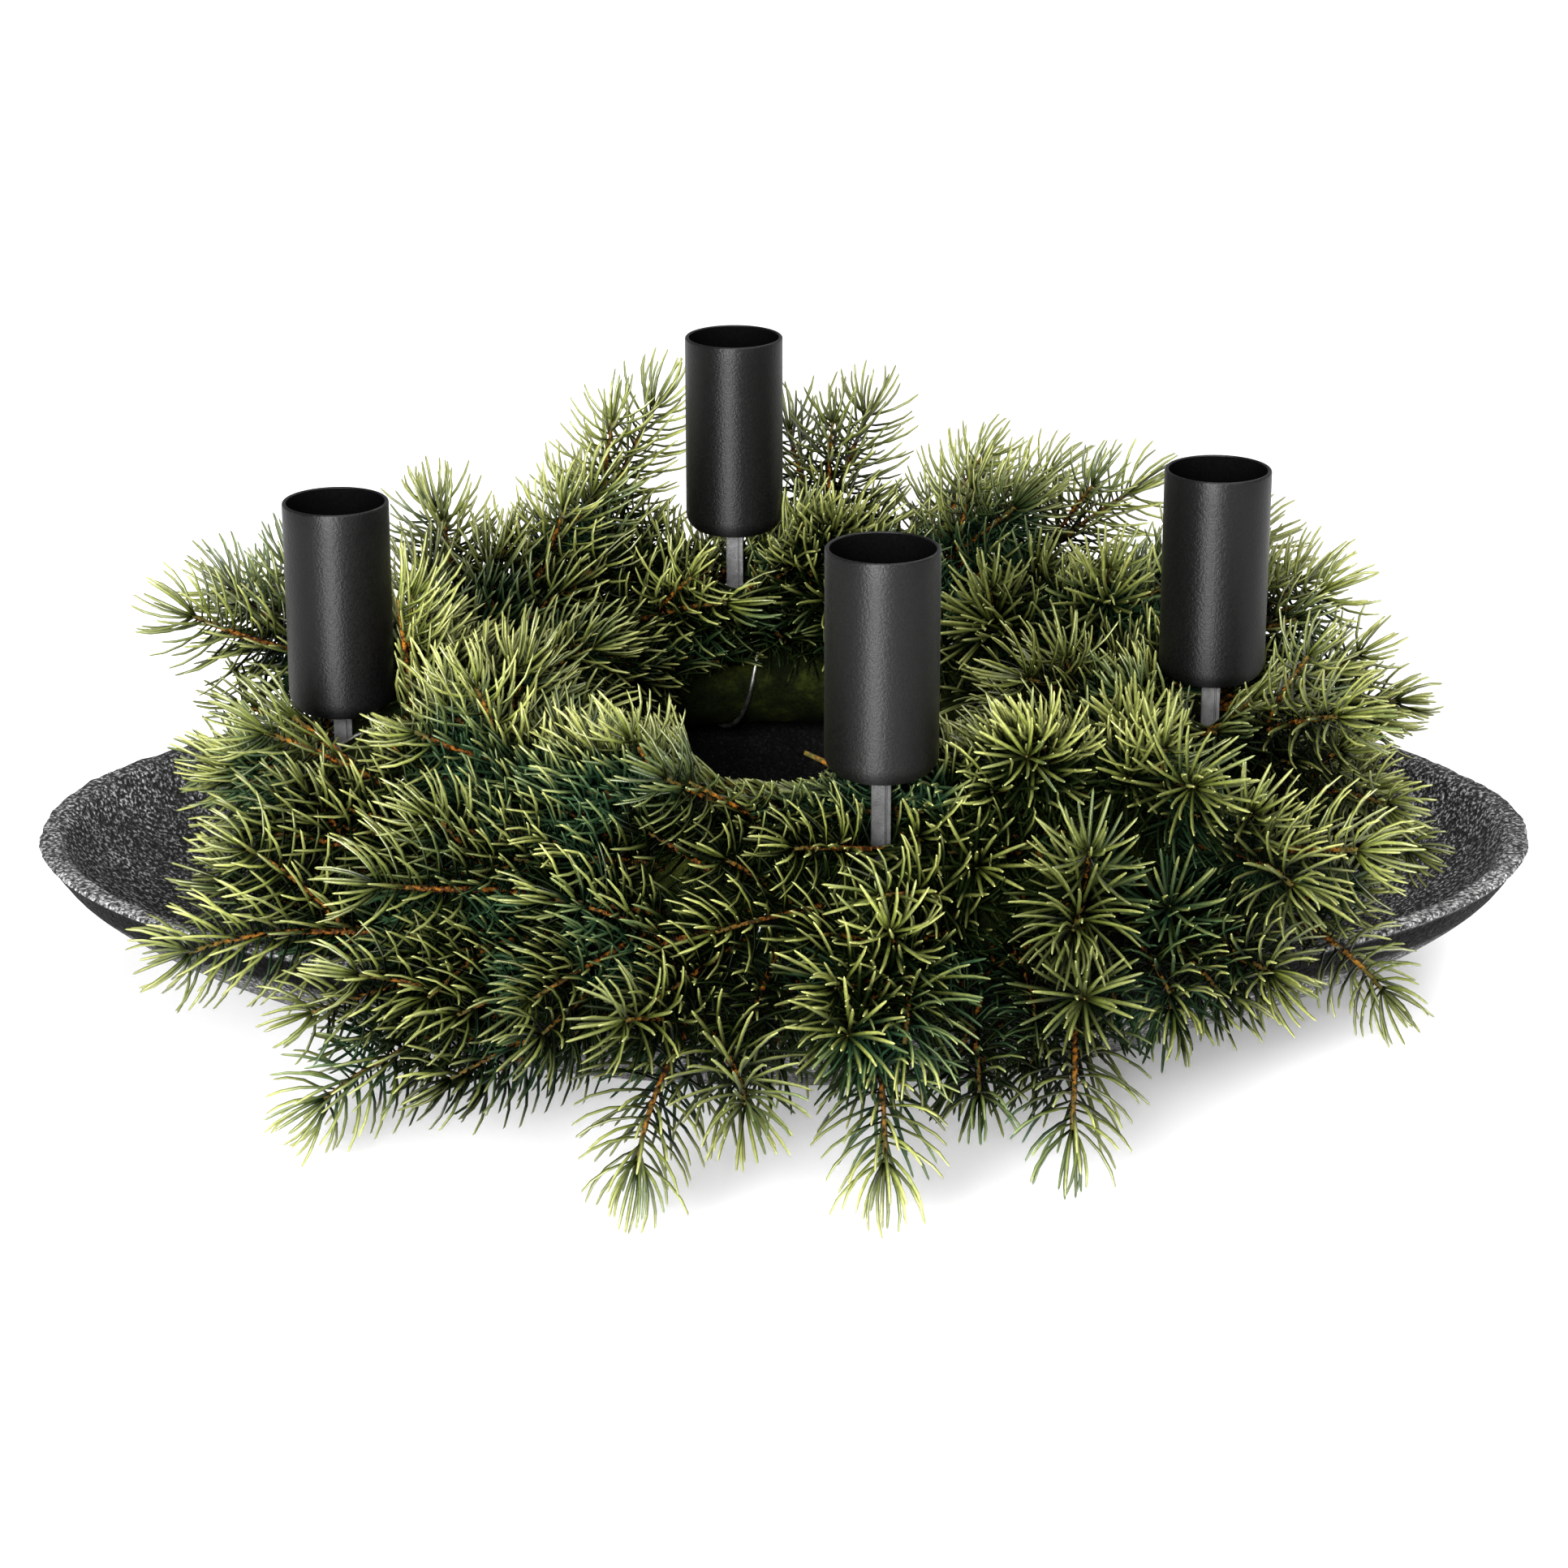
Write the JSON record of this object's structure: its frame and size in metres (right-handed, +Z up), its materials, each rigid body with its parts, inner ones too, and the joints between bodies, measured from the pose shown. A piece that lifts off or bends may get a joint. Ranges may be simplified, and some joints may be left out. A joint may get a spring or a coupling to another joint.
{
  "type": "advent wreath",
  "caption": "Fir sprig wreath on a moss-wrapped ring, laid on an oval cast metal dish, with black cylindrical candle cups on grey spikes stuck into it",
  "frame": {"origin": "the middle of the dish's flat foot, on the surface that it stands on", "axes": "+X along the dish's length to the viewer's right, +Z up, and -Y towards the viewer of the picture"},
  "size_m": [0.346, 0.3282, 0.136],
  "materials": {
    "cast_metal": "sand-cast, blackened, matt and finely pitted, a little lighter on the rim",
    "moss": "moss and plant fibre wrapped round a straw ring",
    "wire": "bright binding wire",
    "black_coat": "black satin powder coat with a fine sparkle",
    "spike_steel": "dull grey folded steel strip",
    "fir": "fir green needles, yellow-green at the tips, on orange-brown twigs"
  },
  "bodies": {
    "root": {"dish": "cast_metal", "wreath_core": "moss", "binding_wire": "wire", "candle_cup_1": "black_coat", "candle_cup_2": "black_coat", "candle_cup_3": "black_coat", "candle_cup_4": "black_coat", "spike_1": "spike_steel", "spike_2": "spike_steel", "spike_3": "spike_steel", "spike_4": "spike_steel", "sprig_low_01": "fir", "sprig_low_02": "fir", "sprig_low_03": "fir", "sprig_low_04": "fir", "sprig_low_05": "fir", "sprig_low_06": "fir", "sprig_low_07": "fir", "sprig_low_08": "fir", "sprig_low_09": "fir", "sprig_low_10": "fir", "sprig_low_11": "fir", "sprig_low_12": "fir", "sprig_low_13": "fir", "sprig_mid_01": "fir", "sprig_mid_02": "fir", "sprig_mid_03": "fir", "sprig_mid_04": "fir", "sprig_mid_05": "fir", "sprig_mid_06": "fir", "sprig_mid_07": "fir", "sprig_mid_08": "fir", "sprig_mid_09": "fir", "sprig_mid_10": "fir", "sprig_mid_11": "fir", "sprig_mid_12": "fir", "sprig_mid_13": "fir", "sprig_upper_01": "fir", "sprig_upper_02": "fir", "sprig_upper_03": "fir", "sprig_upper_04": "fir", "sprig_upper_05": "fir", "sprig_upper_06": "fir", "sprig_upper_07": "fir", "sprig_upper_08": "fir", "sprig_upper_09": "fir", "sprig_upper_10": "fir", "sprig_top_01": "fir", "sprig_top_02": "fir", "sprig_top_03": "fir", "sprig_top_04": "fir", "sprig_top_05": "fir", "sprig_top_06": "fir", "sprig_top_07": "fir", "sprig_inner_01": "fir", "sprig_inner_02": "fir", "sprig_inner_03": "fir", "sprig_inner_04": "fir", "sprig_inner_05": "fir", "sprig_inner_06": "fir"}
  },
  "joints": []
}
